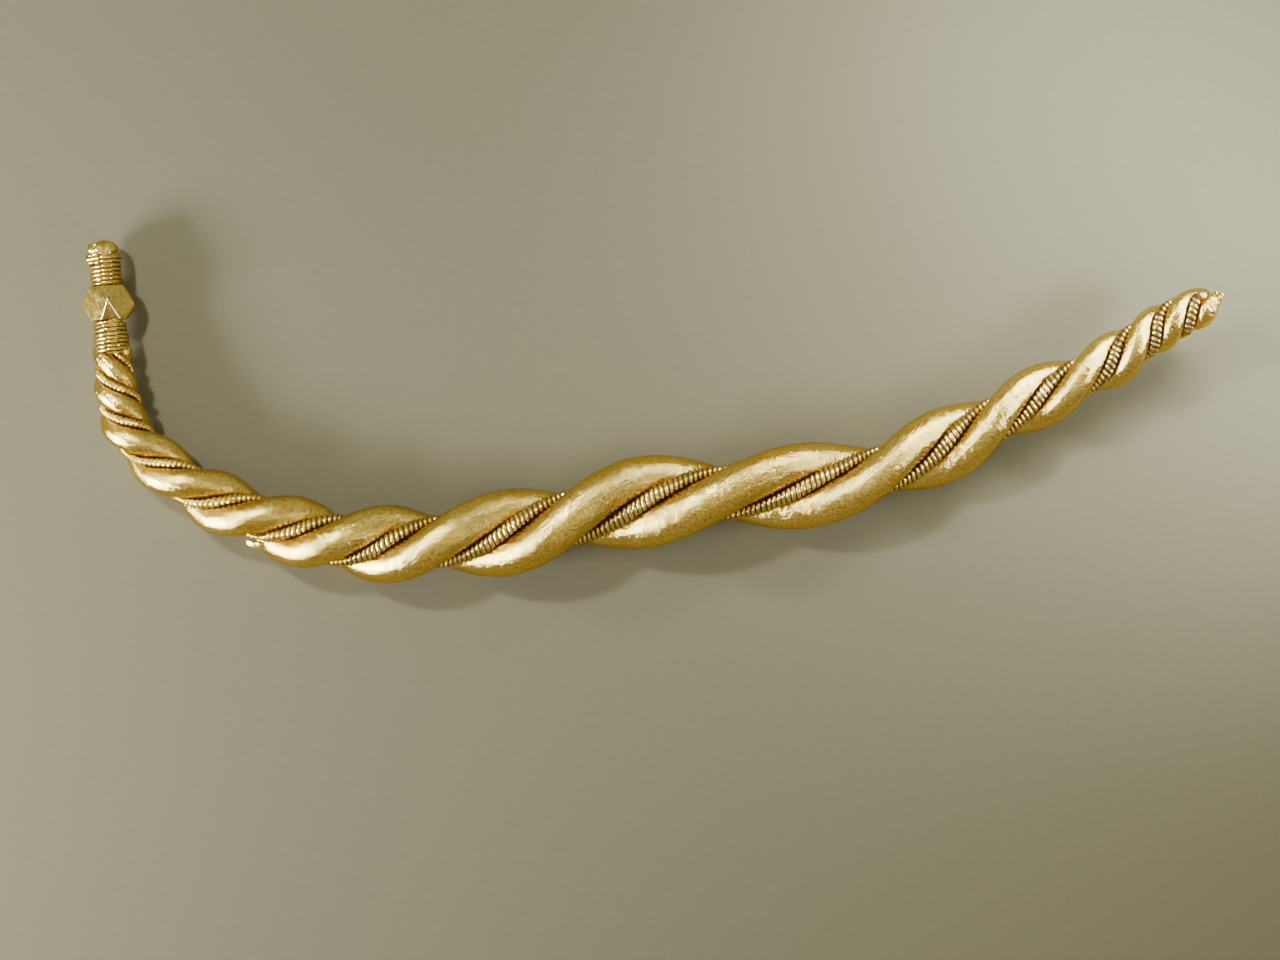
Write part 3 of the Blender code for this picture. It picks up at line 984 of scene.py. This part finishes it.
def make_binding(name, start, end, turns, reach, seed, hole, blows):
    share, path, outwards = binding_path(start, end, turns, reach, seed)
    _, first, second = across_path(path, outwards)
    bm, ring, side = make_tube(len(share), BINDING_SIDES)
    thick = BINDING_RADIUS * (1 + BINDING_UNEVENNESS * soft_noise(path, BINDING_UNEVEN_SIZE, seed))[ring]
    fade = ease(np.minimum(share, 1 - share) * BINDING_TIP_SPEED)
    thick = thick * (BINDING_TIP_SHARE + (1 - BINDING_TIP_SHARE) * fade)[ring]
    flat = 1 - BINDING_RUBBED * ease(np.cos(side) * 2 - 0.9)
    out = np.cos(side)[:, None] * first[ring] * flat[:, None] + np.sin(side)[:, None] * second[ring]
    places = path[ring] + thick[:, None] * out
    for blow in blows:
        places = swell(places, **blow)
    move_verts(bm, places)
    # Soil and painted shade between the turns and in the hole.
    crevice = ease((BINDING_SOIL_SHADE_FROM - np.cos(side)) / BINDING_SOIL_SHADE_OVER)
    if hole:
        beside = np.linalg.norm((places - hole)[:, :2], axis=1)
        crevice = np.maximum(crevice, np.exp(-(beside / HOLE_REACH) ** 2))
    finish_piece(name, bm, wire_gold, "worn_gold", name, crevice=crevice)


for name, binding in BINDINGS.items():
    make_binding(name, **binding)

# %% [markdown]
# ## The knob
# The knob was forged and filed to flat facets: one corner at each quarter round its middle, and a pair
# of corners towards each end. A bevelled cylinder has no such corners. A convex hull of them gives the
# facets, and a small bevel wears their edges.

# %% Facets of the knob
KNOB_END_RADIUS = 0.00365
KNOB_CORNERS = 4
KNOB_END_CORNER = math.radians(27)
KNOB_SHIFTS = (-0.0002, 0.0006, 0, 0)
KNOB_FRONT_LEAN = math.radians(4.5)
KNOB_FRONT_SKEWS = math.radians(24), math.radians(9)
KNOB_FLAT_ENOUGH = math.radians(3)
KNOB_EDGE = 0.00015


def add_faceted_knob(bm):
    middle = (KNOB_START + KNOB_END) / 2
    corners = []
    for number in range(KNOB_CORNERS):
        angle = FULL_TURN * number / KNOB_CORNERS
        lean = KNOB_FRONT_LEAN if number == 0 else 0
        corners.append(bm.verts.new(around(middle + KNOB_SHIFTS[number], angle + lean, KNOB_RADIUS)))
        for end, skew in zip((KNOB_START, KNOB_END), KNOB_FRONT_SKEWS):
            skew = skew if number == 0 else 0
            for side in (-KNOB_END_CORNER, KNOB_END_CORNER):
                corners.append(bm.verts.new(around(end, angle + skew + side, KNOB_END_RADIUS)))
    bmesh.ops.convex_hull(bm, input=corners)
    bmesh.ops.dissolve_limit(bm, angle_limit=KNOB_FLAT_ENOUGH, verts=bm.verts, edges=bm.edges)
    bmesh.ops.bevel(bm, geom=bm.edges[:], offset=KNOB_EDGE, segments=2, profile=0.5,
                    affect="EDGES", material=-1, clamp_overlap=True)
    print(f"knob: {len(corners)} corners")


# %% [markdown]
# ## The sunk front facet
# The lower front facet was cut deeper than its neighbours. It slopes down towards its right edge, where
# a sharp wall and a raised burr stand, scraped down to bare metal. A pale painted glint runs along the burr,
# and the facet is darkened with dirt and painted shade. It is too small for an inset to follow once the
# knob is remeshed, so the skin's vertices are moved instead, by where they lie on the facet.

# %% Cut the front facet
FACET_CUT = 0.00022
FACET_WALL = 0.00020
FACET_BURR = 0.00020
FACET_DIRT_SHADE = 0.55
FACET_SKIN = 0.0008
FACET_FADE = 8
FACET_END = 1.25
FACET_END_FADE = 6
BURR_OUTSIDE = 0.00010
BARE_GLINT_OUTSIDE = 0.00006


def facet_places(places):
    """For each place: across the front facet, down it, above it, and the direction that the facet faces."""
    apex = around((KNOB_START + KNOB_END) / 2 + KNOB_SHIFTS[0], KNOB_FRONT_LEAN, KNOB_RADIUS)
    left = around(KNOB_END, KNOB_FRONT_SKEWS[1] - KNOB_END_CORNER, KNOB_END_RADIUS) - apex
    right = around(KNOB_END, KNOB_FRONT_SKEWS[1] + KNOB_END_CORNER, KNOB_END_RADIUS) - apex
    facing = unit(np.cross(left, right))
    facing = facing * np.sign(facing[2])
    sides = np.stack([left, right, facing], axis=1)
    share_left, share_right, height = np.linalg.solve(sides, (places - apex).T)
    down = share_left + share_right
    across = share_right / np.maximum(down, 0.001)
    return across, down, height, facing, np.linalg.norm(right - left)


def cut_front_facet(places):
    """The places with the front facet cut, its dirt and painted shade, and the bare metal and painted glint
    along its edge.
    """
    across, down, height, facing, width = facet_places(places)
    to_right = (1 - across) * down * width
    to_left = across * down * width
    within = ease(down * FACET_FADE) * ease((FACET_END - down) * FACET_END_FADE)
    near = (height > -FACET_SKIN) * within * ease(1 + across * FACET_FADE)
    sunk = FACET_CUT * np.clip(across, 0, 1) * ease(to_right / FACET_WALL + 0.5)
    raised = FACET_BURR * np.exp(-((to_right + BURR_OUTSIDE) / FACET_WALL) ** 2)
    # Dirt and painted shade darken the facet up to and over its left edge.
    dirt_and_shade = FACET_DIRT_SHADE * near * ease(to_left / FACET_WALL + 1) * ease(to_right / FACET_WALL)
    # A pale painted glint along the burr, where the metal is scraped bare.
    bare_and_glint = BARE_GLINT_MARK * near * np.exp(-((to_right + BARE_GLINT_OUTSIDE) / FACET_WALL) ** 2)
    return places + (near * (raised - sunk))[:, None] * facing, dirt_and_shade, bare_and_glint


print(f"front facet: sunk {1000 * FACET_CUT:.2f} mm")

# %% [markdown]
# ## Shank and head
# The shank runs through both bindings and ends in a low, battered dome. On the real ring it is one piece
# with the knob. Joined as three meshes they would show seams, so a voxel remesh makes one skin of them,
# fine enough to carry small relief.

# %% Lay out the shank
HEAD_LENGTH = 0.0020
HEAD_RADIUS = 0.00268
HEAD_DOME = 0.0016
DOME_STEPS = 8
SHANK_RADIUS = 0.00215
SHANK_SIDES = 40
KNOB_CORE_RADIUS = 0.00280
SHANK_STATIONS = (
    (HEAD_LENGTH, 0.96 * HEAD_RADIUS),
    (HEAD_LENGTH + 0.0006, 1.1 * SHANK_RADIUS),
    (KNOB_START - 0.0002, 1.1 * SHANK_RADIUS),
    (KNOB_START + 0.0006, KNOB_CORE_RADIUS),
    (KNOB_END - 0.0006, KNOB_CORE_RADIUS),
    (KNOB_END + 0.0002, 1.1 * SHANK_RADIUS),
    (HOOP_START - ROD_TUCK, SHANK_RADIUS),
    (HOOP_START - 0.0008, 0.0026),
    (HOOP_START + 0.0002, 0.0027),
    (HOOP_START + 0.0007, 0.0020),
)


def add_shank(bm):
    steps = QUARTER_TURN * np.arange(1, DOME_STEPS + 1) / DOME_STEPS
    dome = zip(HEAD_DOME * (1 - np.cos(steps)), HEAD_RADIUS * np.sin(steps))
    at, radii = np.array([*dome, *SHANK_STATIONS]).T
    tube, ring, side = make_tube(len(at), SHANK_SIDES)
    path = point_at(at)
    _, left, up = directions_at(at)
    move_verts(tube, path[ring] + radii[ring, None] * out_from(side, up[ring], left[ring]))
    bmesh.ops.recalc_face_normals(tube, faces=tube.faces)
    mesh = bpy.data.meshes.new("shank")
    tube.to_mesh(mesh)
    tube.free()
    bm.from_mesh(mesh)
    bpy.data.meshes.remove(mesh)
    print(f"shank: {len(at)} rings")


# %% One skin for knob, shank and head
KNOB_VOXEL = 0.000085


def one_skin(bm):
    """A voxel remesh of overlapping solids, smoothed once."""
    bmesh.ops.recalc_face_normals(bm, faces=bm.faces)
    mesh = bpy.data.meshes.new("knob_rough")
    bm.to_mesh(mesh)
    bm.free()
    rough = bpy.data.objects.new("knob_rough", mesh)
    bpy.context.scene.collection.objects.link(rough)
    remesh = rough.modifiers.new("skin", "REMESH")
    remesh.mode = "VOXEL"
    remesh.voxel_size = KNOB_VOXEL
    depsgraph = bpy.context.evaluated_depsgraph_get()
    skin = bmesh.new()
    skin.from_mesh(rough.evaluated_get(depsgraph).data)
    bpy.data.objects.remove(rough)
    bmesh.ops.smooth_vert(skin, verts=skin.verts, factor=0.5,
                          use_axis_x=True, use_axis_y=True, use_axis_z=True)
    skin.normal_update()
    print(f"knob skin: {len(skin.verts)} vertices")
    return skin


# %% Make the knob
HEAD_FROM = 0.0287
HEAD_STARTS_OVER = 0.0006
KNOB_SEED = 51
KNOB_GRAIN = (0.000018, 0.0030, 0, 14), (0.000006, 0.0010, 1, 14)
HEAD_DENTS = (0.00011, 0.0020, 2, 14), (0.00004, 0.0009, 4, 14)
PIT_SIZE = 0.0012
PIT_FROM = 1.3
PIT_OVER = 0.6
PIT_DIRT = 0.8
HEAD_BLOWS = (
    {"centre": (-0.1028, 0.0290, 0.0052), "reach": 0.0017, "push": (-0.00025, -0.0001, 0.0002)},
    {"centre": (-0.1031, 0.0304, 0.0042), "reach": 0.0011, "push": (-0.00050, 0.0003, 0)},
    {"centre": (-0.1021, 0.0303, 0.0062), "reach": 0.0007, "push": (0.0002, -0.0003, -0.0006)},
    {"centre": (-0.0999, 0.0301, 0.0068), "reach": 0.0012, "push": (0, 0.0001, -0.0003)},
)


def make_knob(name):
    bm = bmesh.new()
    add_faceted_knob(bm)
    add_shank(bm)
    bm = one_skin(bm)
    places = np.array([v.co[:] for v in bm.verts])
    normals = np.array([v.normal[:] for v in bm.verts])
    head = ease((places[:, 1] - HEAD_FROM) / HEAD_STARTS_OVER)
    uneven = relief(places, KNOB_SEED, KNOB_GRAIN) + head * relief(places, KNOB_SEED, HEAD_DENTS)
    places += uneven[:, None] * normals
    places, dirt_and_shade, bare_and_glint = cut_front_facet(places)
    for blow in HEAD_BLOWS:
        places = swell(places, **blow)
    places[:, 2] = np.maximum(places[:, 2], 0)
    move_verts(bm, places)
    pits = ease((soft_noise(places, PIT_SIZE, KNOB_SEED + 3) - PIT_FROM) / PIT_OVER)
    dirt_and_shade = np.maximum(PIT_DIRT * pits, dirt_and_shade)
    finish_piece(name, bm, knob_gold, "bright_gold", name, crevice=dirt_and_shade, torn=bare_and_glint)


make_knob("terminal_knob")
